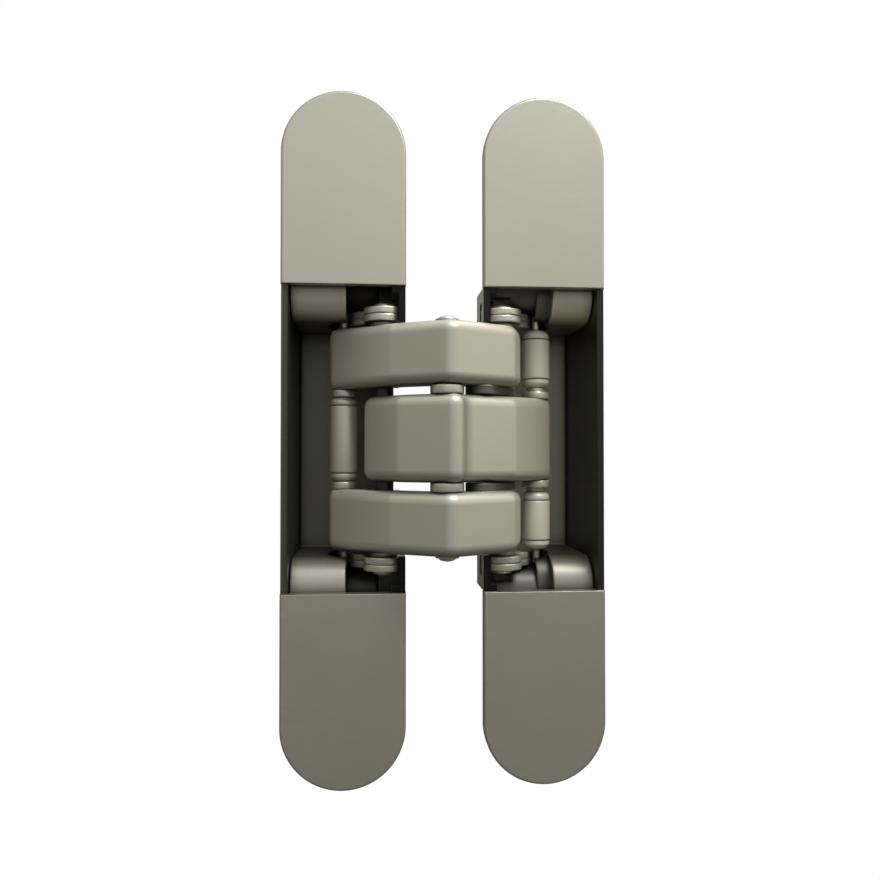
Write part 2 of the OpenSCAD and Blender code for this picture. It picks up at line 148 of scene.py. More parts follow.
class HingeFinish(bpy.types.PropertyGroup):
    """Colours and grain of the finishes."""

    satin: FloatVectorProperty(
        name="Satin",
        description="Colour of the satin coat",
        subtype="COLOR",
        size=4,
        default=(0.60, 0.58, 0.49, 1),
    )
    steel: FloatVectorProperty(
        name="Steel",
        description="Colour of the steel",
        subtype="COLOR",
        size=4,
        default=(0.70, 0.68, 0.58, 1),
    )
    # Painted shade: the camera sees this colour inside the cases, where shade falls, in place of the coat.
    inside: FloatVectorProperty(
        name="Inside",
        description="Colour inside the cases",
        subtype="COLOR",
        size=4,
        default=(0.055, 0.056, 0.049, 1),
    )
    # Painted shade: the camera sees this colour on the cases' rims in place of the coat.
    rim: FloatVectorProperty(
        name="Rim",
        description="Colour of the cases' rims",
        subtype="COLOR",
        size=4,
        default=(0.03, 0.03, 0.026, 1),
    )
    # Painted reflection: all rays but the camera's see the cases in this colour, scaled by a share for each
    # case, in place of their coat.
    bounce: FloatVectorProperty(
        name="Bounce",
        description="Colour of the cases in reflections",
        subtype="COLOR",
        size=4,
        default=(0.90, 0.86, 0.73, 1),
    )
    screw: FloatVectorProperty(
        name="Screw",
        description="Colour of the dark screws",
        subtype="COLOR",
        size=4,
        default=(0.10, 0.10, 0.095, 1),
    )
    grain: FloatProperty(name="Grain", description="Grains of the satin coat to a metre", default=5200)
    satin_rough: FloatProperty(
        name="Satin roughness", description="Roughness of the satin coat", default=0.36
    )


class HingeStage(bpy.types.PropertyGroup):
    """Camera, light and floor."""

    camera: FloatVectorProperty(
        name="Camera",
        description="Place of the camera",
        subtype="TRANSLATION",
        default=(0.0056, -0.169, -0.0027),
    )
    pan: FloatProperty(
        name="Pan", description="Turn of the camera to the right", subtype="ANGLE", default=0.0816
    )
    tilt: FloatProperty(
        name="Tilt", description="Turn of the camera upwards", subtype="ANGLE", default=0.0155
    )
    lens: FloatProperty(name="Lens", description="Focal length in millimetres", default=33.65)
    key: FloatProperty(
        name="Key light", description="Power of the key light", subtype="POWER", default=3.6
    )
    floor_z: FloatProperty(
        name="Floor", description="Height of the floor", subtype="DISTANCE", default=-0.25
    )


def direction(angle):
    """Unit vectors at the given angles."""
    return np.stack((np.cos(angle), np.sin(angle)), -1)


def angle_of(vector):
    """Angle of a vector in its plane."""
    return math.atan2(vector[1], vector[0])


def arc(middle, radius, start, end, count):
    """Points at middle + radius * (cos a, sin a) for a from start to end, and their outward normals."""
    out = direction(np.linspace(start, end, count))
    return middle + radius * out, out


def hollow_arc(middle, radius, start, end, count):
    """An arc seen from inside: points at middle - radius * (cos a, sin a), with normals (cos a, sin a)."""
    out = direction(np.linspace(start, end, count))
    return middle - radius * out, out


def rounded(loop, radius, count=5):
    """A closed loop with each corner C replaced by the curve (1-t)^2 A + 2t(1-t) C + t^2 B.

    A and B lie on the two edges, at the radius or at 0.45 of the edge, whichever is less.
    """
    loop = np.asarray(loop, float)
    back, ahead = np.roll(loop, 1, 0) - loop, np.roll(loop, -1, 0) - loop
    back_len, ahead_len = np.linalg.norm(back, axis=1), np.linalg.norm(ahead, axis=1)
    cut = np.minimum(radius, 0.45 * np.minimum(back_len, ahead_len))[:, None]
    a, b = loop + back / back_len[:, None] * cut, loop + ahead / ahead_len[:, None] * cut
    t = np.linspace(0, 1, count)[None, :, None]
    curves = (1 - t) ** 2 * a[:, None] + 2 * t * (1 - t) * loop[:, None] + t**2 * b[:, None]
    return curves.reshape(-1, 2)


def ring_faces(rings, count, close_rings=False):
    """Quads of a grid that is closed round its count, ring after ring."""
    ring = np.arange(rings if close_rings else rings - 1)[:, None] * count
    over = (ring + count) % (rings * count)
    here, there = np.arange(count)[None], (np.arange(count)[None] + 1) % count
    quads = np.stack((ring + here, ring + there, over + there, over + here), -1)
    return quads.reshape(-1, 4).tolist()


def slab(points, normals, weights, low, high, low_edge, high_edge, steps=8):
    """A flat outline carried between two levels, with quarter-round edges.

    A point moves inwards along its normal by edge * weight * (1 - cos a) while its level rises by
    edge * sin a, for a from 0 to 90 degrees. A last ring inside each edge keeps the end faces flat.
    Returns the vertices as (outline, outline, level) and the faces.
    """
    a = np.linspace(0, RIGHT_ANGLE, steps + 1)
    hold = 0.12
    inset = np.concatenate(
        (
            [low_edge + hold],
            low_edge * (1 - np.sin(a)),
            [0, 0],
            high_edge * (1 - np.cos(a)),
            [high_edge + hold],
        )
    )
    level = np.concatenate(
        (
            [low],
            low + low_edge * (1 - np.cos(a)),
            [low + low_edge + hold, high - high_edge - hold],
            high - high_edge * (1 - np.sin(a)),
            [high],
        )
    )
    flat = points[None] - normals[None] * (inset[:, None] * weights[None])[..., None]
    grid = np.concatenate((flat, np.broadcast_to(level[:, None, None], flat.shape[:2] + (1,))), -1)
    rings, count = grid.shape[:2]
    faces = ring_faces(rings, count)
    faces += [list(range(count))[::-1], list(range((rings - 1) * count, rings * count))]
    return grid.reshape(-1, 3), faces


def turned(loop, axis, turns, closed=True):
    """A loop of (radius, height) carried round a standing axis: (x + r cos a, y + r sin a, z)."""
    loop = np.asarray(loop, float)
    spin = direction(np.linspace(0, FULL_TURN, turns, endpoint=False))
    ring = axis + loop[:, None, :1] * spin[None]
    grid = np.concatenate((ring, np.broadcast_to(loop[:, None, 1:], ring.shape[:2] + (1,))), -1)
    return grid.reshape(-1, 3), ring_faces(len(loop), turns, close_rings=closed)


def join(parts):
    """Several (vertices, faces) as one."""
    verts, faces, first = [], [], 0
    for part_verts, part_faces in parts:
        verts.append(part_verts)
        faces += [[i + first for i in face] for face in part_faces]
        first += len(part_verts)
    return np.concatenate(verts), faces


def mirrored(part):
    """A piece turned over below the middle of the hinge."""
    verts, faces = part
    return verts * np.array((1, 1, -1)), [face[::-1] for face in faces]


def finish_of(name):
    """The dressed finish of that name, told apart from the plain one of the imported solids."""
    return bpy.data.materials["dressed_" + name]


def make_piece(name, part, node, material):
    """Puts a shape in millimetres into a mesh that stands for a solid and rides on that solid's body."""
    verts, faces = part
    mesh = bpy.data.meshes.new(name)
    mesh.from_pydata(verts * MM, [], faces)
    edit = bmesh.new()
    edit.from_mesh(mesh)
    bmesh.ops.remove_doubles(edit, verts=edit.verts, dist=WELD)
    bmesh.ops.recalc_face_normals(edit, faces=edit.faces)
    edit.to_mesh(mesh)
    edit.free()
    mesh.shade_smooth()
    mesh.set_sharp_from_angle(angle=SMOOTH_UP_TO)
    mesh.materials.append(finish_of(material))
    piece = bpy.data.objects.new(name, mesh)
    bpy.context.scene.collection.objects.link(piece)
    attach(piece, frame["nodes"][node]["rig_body"])
    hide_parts(node)


def tangent_normals(points, radii, side):
    """Normals of the lines that touch neighbouring circles on one side.

    A line with normal n touches both circles where n . (p1 - p0) = r0 - r1.
    """
    step = points[1:] - points[:-1]
    length = np.linalg.norm(step, axis=1)[:, None]
    along = step / length
    lean = (radii[:-1] - radii[1:])[:, None] / length
    across = side * np.stack((-along[:, 1], along[:, 0]), -1)
    return along * lean + across * np.sqrt(1 - lean**2)


def unwrap(angles):
    """Angles that only grow, each within a turn of the one before."""
    grown = [angles[0]]
    for a in angles[1:]:
        grown.append(grown[-1] + (a - grown[-1]) % FULL_TURN)
    return grown


def ridge_circle(points, radii, ridge, shift):
    """The circles of an arm with a smaller one over the crossing that touches the same two front lines.

    With n . b = c for the line normals n and their bisector b, its middle lies (R - r) / c along b. It
    is then moved by the shift: forwards along the line before it, or backwards along the line after it.
    """
    before, after = tangent_normals(points, radii, -1)[1:3]
    both = (before + after) / np.linalg.norm(before + after)
    points, radii = points.copy(), radii.copy()
    kept = before if shift > 0 else after
    points[2] += both * (radii[2] - ridge) / (before @ both) + shift * np.array((-kept[1], kept[0]))
    radii[2] = ridge
    return points, radii


def arm_outline(stations, pin, step, ridge, shift, groove, inside, end):
    """Outline of a bent arm seen from above, with its normals and the share of the edge rounding.

    The stations are circles along the arm: guided end, bend, crossing, bend, eye. The front follows the
    lines that touch neighbouring circles and the arcs between them, with a tighter ridge at the
    crossing. Where there is a step, the line to the crossing runs lower by it, and a hollow arc that
    touches the line and the ridge joins them. The back follows the touching lines on the other side,
    with hollow arcs in the bends and a round-bottomed notch where the fixed pin stands. The guided end
    has the given share of the edge rounding.
    """
    points, radii = np.array([s[0] for s in stations]), np.array([s[1] for s in stations])
    back = tangent_normals(points, radii, 1)
    body, body_radii = points, radii
    points, radii = ridge_circle(points, radii, ridge, shift)
    low_radii = radii - np.array([0, 0, step, 0, 0])
    front = tangent_normals(points, radii, -1)
    front[1] = tangent_normals(points[1:3], low_radii[1:3], -1)[0]
    front_at = unwrap([angle_of(n) for n in front])
    back_at = [angle_of(n) for n in back]
    first = back_at[0]
    turn_to = [first + (a - first) % FULL_TURN for a in front_at]
    last = turn_to[3] + (back_at[3] - turn_to[3]) % FULL_TURN
    chain = [
        arc(points[0], radii[0], first, turn_to[0], 20),
        arc(points[1], radii[1], turn_to[0], turn_to[1], 6),
    ]
    hub_from = turn_to[1]
    if step > 0:
        reach = radii[2] + groove
        side = math.acos((low_radii[2] + groove) / reach)
        hub_from = turn_to[1] - side
        middle = points[2] + reach * direction(np.array(hub_from))
        chain.append(hollow_arc(middle, groove, turn_to[1], hub_from, 8))
    chain += [
        arc(points[2], radii[2], hub_from, turn_to[2], 20),
        arc(points[3], radii[3], turn_to[2], turn_to[3], 10),
        arc(points[4], radii[4], turn_to[3], last, 24),
    ]
    for i in (3, 2, 1):
        both = back[i - 1] + back[i]
        middle = body[i] + (body_radii[i] + inside) * both / (1 + back[i - 1] @ back[i])
        start = back_at[i]
        turn = (start - back_at[i - 1]) % FULL_TURN
        chain.append(hollow_arc(middle, inside, start, start - turn, 8))
    weights = np.ones(sum(len(p) for p, n in chain))
    weights[: len(chain[0][0])] = end
    along = np.array((back[0][1], -back[0][0]))
    foot = points[0] + radii[0] * back[0] + along * ((pin[0] - points[0]) @ along)
    mouth = np.array((pin[1] + NOTCH_FLARE, pin[1]))[:, None]
    swing = np.linspace(0, math.pi, 13)
    bowl = np.cos(swing)[:, None] * along - np.sin(swing)[:, None] * back[0]
    notch = np.concatenate((foot + mouth * along, pin[0] + pin[1] * bowl, foot - mouth[::-1] * along))
    facing = np.concatenate((back[:1], back[:1], -bowl, back[:1], back[:1]))
    points_all = np.concatenate([p for p, n in chain] + [notch])
    normals_all = np.concatenate([n for p, n in chain] + [facing])
    share = np.concatenate((weights, [1], np.full(len(notch) - 2, NOTCH_SHARE), [1]))
    return points_all, normals_all, share


def across_hinge(points):
    """Points of one half carried to the other half of the hinge."""
    return points * np.array((-1, 1)) + np.array((2 * CROSSING[0], 0))


def capsule(start, end, radius):
    """Outline of a strip with round ends, with its normals."""
    way = angle_of(end - start)
    caps = (
        arc(end, radius, way - RIGHT_ANGLE, way + RIGHT_ANGLE, 16),
        arc(start, radius, way + RIGHT_ANGLE, way + 3 * RIGHT_ANGLE, 16),
    )
    return np.concatenate([p for p, n in caps]), np.concatenate([n for p, n in caps])


ARM_RADII = (2.9, 3.6, 3.8, 3.6, 3.8)
NEAR_WAY, FAR_WAY = np.array((-1, 0.57)), np.array((1, 0.53))
OUTER_BENDS, MIDDLE_BENDS = (8.6, 10.8), (11.3, 7.0)
NOTCH_RADIUS, NOTCH_FLARE, NOTCH_SHARE = 2.2, 0.9, 0.12
SPACER_FROM, SPACER_RADIUS, SPACER_EDGE = 6.6, 2.8, 0.2
HIDDEN_EDGE = 0.05
COVER_FOOT = 0.6


class HINGE_OT_arms(bpy.types.Operator):
    """Builds the three bent arms with their soft edges"""

    bl_idname = "hinge.arms"
    bl_label = "Arms"

    def execute(self, context):
        sizes = context.scene.hinge_sizes
        edge = sizes.arm_edge

        def outline(bends, step, ridge, shift):
            """Outline of an arm that lies in the frame half, with bends at the given distances."""
            near, far = bends[0] * NEAR_WAY, bends[1] * FAR_WAY
            places = (FRAME_GUIDE, CROSSING + near, CROSSING, CROSSING + far, DOOR_PIVOT)
            shapes = (ridge, shift, sizes.arm_groove, sizes.arm_inside, sizes.arm_end)
            return arm_outline(list(zip(places, ARM_RADII)), (FRAME_PIVOT, NOTCH_RADIUS), step, *shapes)

        outer = outline(OUTER_BENDS, 0, sizes.arm_ridge, sizes.ridge_shift)
        spacer, facing = capsule(CROSSING + SPACER_FROM * FAR_WAY, DOOR_PIVOT, SPACER_RADIUS)
        levels = node_box("upper_arm")[0][2], OUTER_LOW + edge
        upper = join(
            (
                slab(*outer, OUTER_LOW, OUTER_TOP, edge, edge),
                slab(spacer, facing, np.ones(len(spacer)), *levels, SPACER_EDGE, HIDDEN_EDGE),
            )
        )
        points, normals, share = outline(MIDDLE_BENDS, sizes.hub_step, sizes.hub_ridge, sizes.hub_shift)
        turned_over = across_hinge(points)[::-1], (normals * np.array((-1, 1)))[::-1], share[::-1]
        middle = slab(*turned_over, -MID_TOP, MID_TOP, edge, edge)
        make_piece("upper_arm_cast", upper, "upper_arm", "satin_arm")
        make_piece("lower_arm_cast", mirrored(upper), "lower_arm", "satin_arm")
        make_piece("middle_arm_cast", middle, "middle_arm", "satin_hub")
        return {"FINISHED"}


class HINGE_OT_covers(bpy.types.Operator):
    """Builds the four covers with their rounded edges"""

    bl_idname = "hinge.covers"
    bl_label = "Covers"

    def execute(self, context):
        sizes = context.scene.hinge_sizes
        for node in ("frame_upper_cover", "frame_lower_cover", "door_upper_cover", "door_lower_cover"):
            low, high = node_box(node)
            radius, middle = (high[0] - low[0]) / 2, (high[0] + low[0]) / 2
            upper = high[2] > 0
            sill, crown = (low[2], high[2]) if upper else (-high[2], -low[2])
            top = np.array((middle, crown - radius))
            bow, bow_normals = arc(top, radius, 0, math.pi, 64)
            lip = sizes.cover_lip / sizes.cover_edge
            left, right = (middle - radius, sill), (middle + radius, sill)
            sides = np.array([left, (left[0] + COVER_FOOT, sill), (right[0] - COVER_FOOT, sill), right])
            down = np.array([(-1, -lip), (0, -1), (0, -1), (1, -lip)])
            rise = np.array([(middle + radius, sill + COVER_FOOT), (middle + radius, crown - radius - 1)])
            fall = rise[::-1] * np.array((-1, 1)) + np.array((2 * middle, 0))
            points = np.concatenate((sides, rise, bow, fall))
            normals = np.concatenate((down, [(1, 0)] * 2, bow_normals, [(-1, 0)] * 2))
            share = np.concatenate(([1, lip, lip], np.ones(len(points) - 3)))
            edges = HIDDEN_EDGE, sizes.cover_edge
            verts, faces = slab(points, normals, share, -high[1], -low[1], *edges)
            part = verts[:, [0, 2, 1]] * np.array((1, -1, 1)), faces
            part = part if upper else mirrored(part)
            make_piece(node + "_plate", part, node, "satin_cover")
        return {"FINISHED"}


def tube_loop(bore, radius, low, high, edge):
    """Cross-section of a tube with rounded edges."""
    return rounded([(bore, low), (radius, low), (radius, high), (bore, high)], edge)


def dome_points(radius, low, rise, power, count=10):
    """The curve (r cos^p a, low + rise sin^p a) from the rim of a round head to its top."""
    a = np.linspace(0, RIGHT_ANGLE, count)
    return np.stack((radius * np.maximum(np.cos(a), 0) ** power, low + rise * np.sin(a) ** power), -1)


def headed_pin(shaft, under, head, rise, spigot=None, power=1.0):
    """Cross-section of a pin with a round head, and perhaps a thin end above it, mirrored below."""
    top = dome_points(head, under, rise, power)
    if spigot:
        radius, tip = spigot
        neck = under + rise * math.sqrt(1 - (radius / head) ** 2)
        end = [(radius, neck), (radius, tip - TIP_EDGE), (radius - TIP_EDGE, tip), (0, tip)]
        top = np.concatenate((top[top[:, 0] > radius + TIP_CLEAR], end))
    half = np.concatenate(([(shaft, 0.0), (shaft, under)], top))
    return np.concatenate((half[::-1] * np.array((1, -1)), half[1:]))


def barrel_loop(bore, radius, low, high, cut):
    """Cross-section of a barrel with cut-back ends, each with a collar and a narrow neck behind it."""
    collar, neck = radius - COLLAR_DROP, radius - NECK_DROP
    up = low + cut + np.array(COLLAR_LEVELS)
    half = np.array([(bore, low), (radius - cut, low), *zip((collar, collar, neck, neck, radius), up)])
    other = half[::-1] * np.array((1, -1)) + np.array((0, low + high))
    return rounded(np.concatenate((half, other)), BARREL_EDGE)


PIVOT_SHAFT, PIVOT_HEAD, PIVOT_WASHER = 1.9, 2.2, 2.7
GUIDE_SHAFT, GUIDE_HEAD, GUIDE_TIP, GUIDE_WASHER = 1.3, 1.6, 0.75, 2.5
CENTER_SHAFT, CENTER_HEAD, CENTER_WASHER = 2.2, 1.7, 3.2
HEAD_LIFT, HEAD_GAP, HEAD_DROP = 0.3, 0.3, 0.2
BARREL_RADIUS, BARREL_CUT, BARREL_EDGE = 2.85, 0.8, 0.2
COLLAR_DROP, NECK_DROP, COLLAR_LEVELS = 0.12, 0.36, (0, 0.75, 0.85, 0.95, 1.1)
STEP_RADIUS, STEP_HEIGHT = 1.95, 1.5
TIP_EDGE, TIP_CLEAR = 0.2, 0.02
BORE_FIT, FACE_FIT = 0.02, 0.05


class HINGE_OT_turned(bpy.types.Operator):
    """Builds the pins, barrels and washers"""

    bl_idname = "hinge.turned"
    bl_label = "Pins, barrels and washers"

    def execute(self, context):
        sizes = context.scene.hinge_sizes
        edge, turns = sizes.pin_edge, sizes.turns

        def pair(loop, axis):
            """A turned loop above the middle and the same below it."""
            part = turned(loop, axis, turns)
            return join((part, mirrored(part)))

        for side, axis in (("frame", FRAME_PIVOT), ("door", DOOR_PIVOT)):
            tip = node_box(side + "_pivot_pin")[1][2]
            loop = headed_pin(PIVOT_SHAFT, PLATE_TOP, PIVOT_HEAD, tip - PLATE_TOP, power=0.5)
            pin = turned(loop, axis, turns, closed=False)
            # The pivot pins take the pin finish with painted shade on the shaft between the arms.
            make_piece(side + "_pivot_pin_turned", pin, side + "_pivot_pin", "painted_shade_pin")
            ring = tube_loop(PIVOT_SHAFT + BORE_FIT, PIVOT_WASHER, OUTER_TOP + FACE_FIT, PLATE_LOW, edge)
            node = side + "_pivot_washers"
            make_piece(node + "_turned", pair(ring, axis), node, "steel_pin")
        guides = (("frame_guide_pin", FRAME_GUIDE, 0), ("door_guide_pin", DOOR_GUIDE, HEAD_LIFT))
        for node, axis, lift in guides:
            tip, under = node_box(node)[1][2], OUTER_TOP + lift
            loop = headed_pin(GUIDE_SHAFT, under, GUIDE_HEAD, PLATE_LOW - HEAD_GAP - under, (GUIDE_TIP, tip))
            pin = turned(loop, axis, turns, closed=False)
            make_piece(node + "_turned", pin, node, "steel_pin")
        under = OUTER_TOP + HEAD_LIFT
        tip = node_box("center_pin")[1][2] - HEAD_DROP
        loop = headed_pin(CENTER_SHAFT, under, CENTER_HEAD, tip - under)
        pin = turned(loop, CROSSING, turns, closed=False)
        make_piece("center_pin_turned", pin, "center_pin", "steel_pin")
        ring = tube_loop(CENTER_SHAFT + BORE_FIT, CENTER_WASHER, MID_TOP, OUTER_LOW - FACE_FIT, edge)
        washers = pair(ring, CROSSING)
        make_piece("center_washers_turned", washers, "center_washers", "steel_pin")
        bore = GUIDE_SHAFT + BORE_FIT
        for node, axis, material in (
            ("frame_guide_barrel", FRAME_GUIDE, "satin_barrel"),
            ("door_upper_barrel", DOOR_GUIDE, "steel_barrel"),
            ("door_lower_barrel", DOOR_GUIDE, "steel_barrel"),
        ):
            bottom, head = node_box(node)
            loop = barrel_loop(bore, BARREL_RADIUS, bottom[2], head[2], BARREL_CUT)
            make_piece(node + "_turned", turned(loop, axis, turns), node, material)
        rest = node_box("frame_guide_barrel")[1][2]
        washers = pair(tube_loop(bore, GUIDE_WASHER, rest, OUTER_LOW, edge), FRAME_GUIDE)
        make_piece("frame_guide_washers_turned", washers, "frame_guide_washers", "steel_pin")
        rest, step = node_box("door_upper_barrel")[0][2], MID_TOP + STEP_HEIGHT
        ring = [(bore, MID_TOP), (BARREL_RADIUS, MID_TOP), (BARREL_RADIUS, step)]
        ring += [(STEP_RADIUS, step), (STEP_RADIUS, rest), (bore, rest)]
        washers = pair(rounded(ring, edge), DOOR_GUIDE)
        make_piece("door_guide_washers_turned", washers, "door_guide_washers", "steel_pin")
        return {"FINISHED"}


def add_node(tree, kind, **values):
    """A node with its properties and its unlinked inputs set by name."""
    node = tree.nodes.new(kind)
    for key, value in values.items():
        if key in node.inputs:
            node.inputs[key].default_value = value
        else:
            setattr(node, key, value)
    return node


# The colour sockets of a mix node
MIX_FIRST, MIX_SECOND, MIX_RESULT = 6, 7, 2


def set_input(tree, entry, value):
    """Links a socket to an input, or gives the input a number or a colour."""
    if isinstance(value, bpy.types.NodeSocket):
        tree.links.new(value, entry)
    else:
        entry.default_value = value


def math_of(tree, operation, *values):
    """A maths node on sockets or numbers."""
    node = add_node(tree, "ShaderNodeMath", operation=operation)
    for entry, value in zip(node.inputs, values):
        set_input(tree, entry, value)
    return node.outputs[0]


def ranged(tree, source, start, end, low, high):
    """A value carried from start..end to low..high, and held beyond them."""
    node = add_node(tree, "ShaderNodeMapRange")
    ends = {"From Min": start, "From Max": end, "To Min": low, "To Max": high}
    for name, value in ends.items():
        node.inputs[name].default_value = value
    tree.links.new(source, node.inputs["Value"])
    return node.outputs["Result"]


def by_place(tree, source, start, end, low, high):
    """The same for a place, with start and end in millimetres."""
    return ranged(tree, source, start * MM, end * MM, low, high)


def dimmed(tree, color, factor):
    """A colour times a factor."""
    node = add_node(tree, "ShaderNodeVectorMath", operation="SCALE")
    set_input(tree, node.inputs[0], color)
    tree.links.new(factor, node.inputs["Scale"])
    return node.outputs["Vector"]


def mixed(tree, share, first, second):
    """A colour between two, with the given share of the second."""
    node = add_node(tree, "ShaderNodeMix", data_type="RGBA")
    tree.links.new(share, node.inputs["Factor"])
    set_input(tree, node.inputs[MIX_FIRST], first)
    set_input(tree, node.inputs[MIX_SECOND], second)
    return node.outputs[MIX_RESULT]


def coordinates(tree, kind="Object"):
    """X, Y and Z of the place on an object or of another kind of coordinate, such as its normal."""
    place = add_node(tree, "ShaderNodeTexCoord")
    split = add_node(tree, "ShaderNodeSeparateXYZ")
    tree.links.new(place.outputs[kind], split.inputs[0])
    return split.outputs


def new_material(name):
    """A material with its node tree and its surface shader."""
    material = bpy.data.materials.new(name)
    material.use_nodes = True
    tree = material.node_tree
    return material, tree, next(n for n in tree.nodes if n.type == "BSDF_PRINCIPLED")


def show_to_camera(tree, lit, seen, out):
    """Shows one shader to the camera and another one to all other rays."""
    path = add_node(tree, "ShaderNodeLightPath")
    mix = add_node(tree, "ShaderNodeMixShader")
    tree.links.new(path.outputs["Is Camera Ray"], mix.inputs["Fac"])
    tree.links.new(lit.outputs[0], mix.inputs[1])
    tree.links.new(seen.outputs[0], mix.inputs[2])
    tree.links.new(mix.outputs[0], out.inputs["Surface"])


def grain_group():
    """Shader group of the fine grain in a satin coat: colour, roughness and height.

    Along an axis with a stretch below 1 the grains are longer.
    """
    tree = bpy.data.node_groups.new("satin_grain", "ShaderNodeTree")
    sockets = (
        ("Color", "INPUT", "NodeSocketColor"),
        ("Grains", "INPUT", "NodeSocketFloat"),
        ("Contrast", "INPUT", "NodeSocketFloat"),
        ("Roughness", "INPUT", "NodeSocketFloat"),
        ("Stretch", "INPUT", "NodeSocketVector"),
        ("Color", "OUTPUT", "NodeSocketColor"),
        ("Roughness", "OUTPUT", "NodeSocketFloat"),
        ("Height", "OUTPUT", "NodeSocketFloat"),
    )
    for name, way, kind in sockets:
        tree.interface.new_socket(name, in_out=way, socket_type=kind)
    given, result = tree.nodes.new("NodeGroupInput"), tree.nodes.new("NodeGroupOutput")
    place = add_node(tree, "ShaderNodeTexCoord")
    drawn = add_node(tree, "ShaderNodeVectorMath", operation="MULTIPLY")
    tree.links.new(place.outputs["Object"], drawn.inputs[0])
    tree.links.new(given.outputs["Stretch"], drawn.inputs[1])
    fine = add_node(tree, "ShaderNodeTexNoise", Detail=2.0, Roughness=0.6)
    tree.links.new(drawn.outputs["Vector"], fine.inputs["Vector"])
    tree.links.new(given.outputs["Grains"], fine.inputs["Scale"])
    cloud = add_node(tree, "ShaderNodeTexNoise", Scale=55.0, Detail=3.0, Roughness=0.55)
    tree.links.new(place.outputs["Object"], cloud.inputs["Vector"])
    speck = ranged(tree, fine.outputs["Fac"], 0.3, 0.7, -1.0, 1.0)
    patch = ranged(tree, cloud.outputs["Fac"], 0.3, 0.7, -0.35, 0.35)
    both = math_of(tree, "ADD", speck, patch)
    gain = math_of(tree, "MULTIPLY_ADD", both, given.outputs["Contrast"], 1.0)
    rough = math_of(tree, "MULTIPLY_ADD", both, 0.03, given.outputs["Roughness"])
    tree.links.new(dimmed(tree, given.outputs["Color"], gain), result.inputs["Color"])
    tree.links.new(rough, result.inputs["Roughness"])
    tree.links.new(fine.outputs["Fac"], result.inputs["Height"])
    return tree


def coat(name, group, color, grains, contrast, roughness, metallic, bump, bevel=0.0, stretch=1.0):
    """A metal finish with the fine grain of the group, with painted shade in its crevices.

    The painted shade comes from ambient occlusion. Where there is a bevel, edges look rounded by that
    many millimetres. A stretch below 1 draws the grains out along X.
    """
    material, tree, shader = new_material("dressed_" + name)
    shader.inputs["Metallic"].default_value = metallic
    grain = tree.nodes.new("ShaderNodeGroup")
    grain.node_tree = group
    # Painted shade: the colour is dimmed where ambient occlusion finds crevices.
    ao_shade = add_node(tree, "ShaderNodeAmbientOcclusion", samples=6, Distance=0.0028)
    unshaded_share = ranged(tree, ao_shade.outputs["AO"], 0.45, 0.92, 0.38, 1.0)
    tree.links.new(dimmed(tree, color[:3], unshaded_share), grain.inputs["Color"])
    values = {"Grains": grains, "Contrast": contrast, "Roughness": roughness, "Stretch": (stretch, 1, 1)}
    for key, value in values.items():
        grain.inputs[key].default_value = value
    ridge = add_node(tree, "ShaderNodeBump", Strength=bump, Distance=0.00004)
    tree.links.new(grain.outputs["Height"], ridge.inputs["Height"])
    if bevel > 0:
        soft = add_node(tree, "ShaderNodeBevel", samples=8, Radius=bevel * MM)
        tree.links.new(soft.outputs["Normal"], ridge.inputs["Normal"])
    tree.links.new(grain.outputs["Color"], shader.inputs["Base Color"])
    tree.links.new(grain.outputs["Roughness"], shader.inputs["Roughness"])
    tree.links.new(ridge.outputs["Normal"], shader.inputs["Normal"])
    return material, shader, grain


def scale_color(parts, factor):
    """Dims the coat of a material by a factor."""
    material, shader, grain = parts
    tree = material.node_tree
    tree.links.new(dimmed(tree, grain.outputs["Color"], factor), shader.inputs["Base Color"])


def paint_case_shade(parts, box, color, rim_color, bounce):
    """Paints shade on a case inside its walls and on its rim, less at its left edge and more beside the
    arms.

    A face lies inside where it looks to the front or towards the middle of the case. Only the camera sees
    the painted shade; the reflections of the case in the other pieces keep the colour of the bounce, a
    painted reflection colour.
    """
    material, shader, grain = parts
    tree = material.node_tree
    (left, front, _), (right, _, _) = box
    place, face = coordinates(tree), coordinates(tree, "Normal")
    off = math_of(tree, "SUBTRACT", place["X"], (left + right) / 2 * MM)
    across = math_of(tree, "MULTIPLY", off, face["X"])
    along = math_of(tree, "MULTIPLY", place["Z"], face["Z"])
    inwards = math_of(tree, "LESS_THAN", math_of(tree, "ADD", across, along), -0.1 * MM)
    rim = math_of(tree, "LESS_THAN", place["Y"], (front + 0.3) * MM)
    forwards = math_of(tree, "SUBTRACT", math_of(tree, "LESS_THAN", face["Y"], -0.5), rim)
    edge = by_place(tree, place["X"], left, left + 1.8, 0.84, 1.0)
    away = math_of(tree, "ABSOLUTE", math_of(tree, "SUBTRACT", place["X"], CROSSING[0] * MM))
    beside = by_place(tree, away, 14, 15, 0.85, 0.0)
    # Painted shade: the inside colour on inward and front faces, the rim colour on the rim, black on the rim
    # beside the arms.
    shades = (
        (math_of(tree, "MAXIMUM", inwards, forwards), color),
        (math_of(tree, "MULTIPLY", rim, edge), rim_color),
        (math_of(tree, "MULTIPLY", rim, beside), BLACK),
    )
    seen = grain.outputs["Color"]
    for mask, shade in shades:
        seen = mixed(tree, mask, seen, shade)
    # The camera sees the painted shade, all other rays the painted reflection colour.
    path = add_node(tree, "ShaderNodeLightPath")
    tree.links.new(mixed(tree, path.outputs["Is Camera Ray"], bounce, seen), shader.inputs["Base Color"])


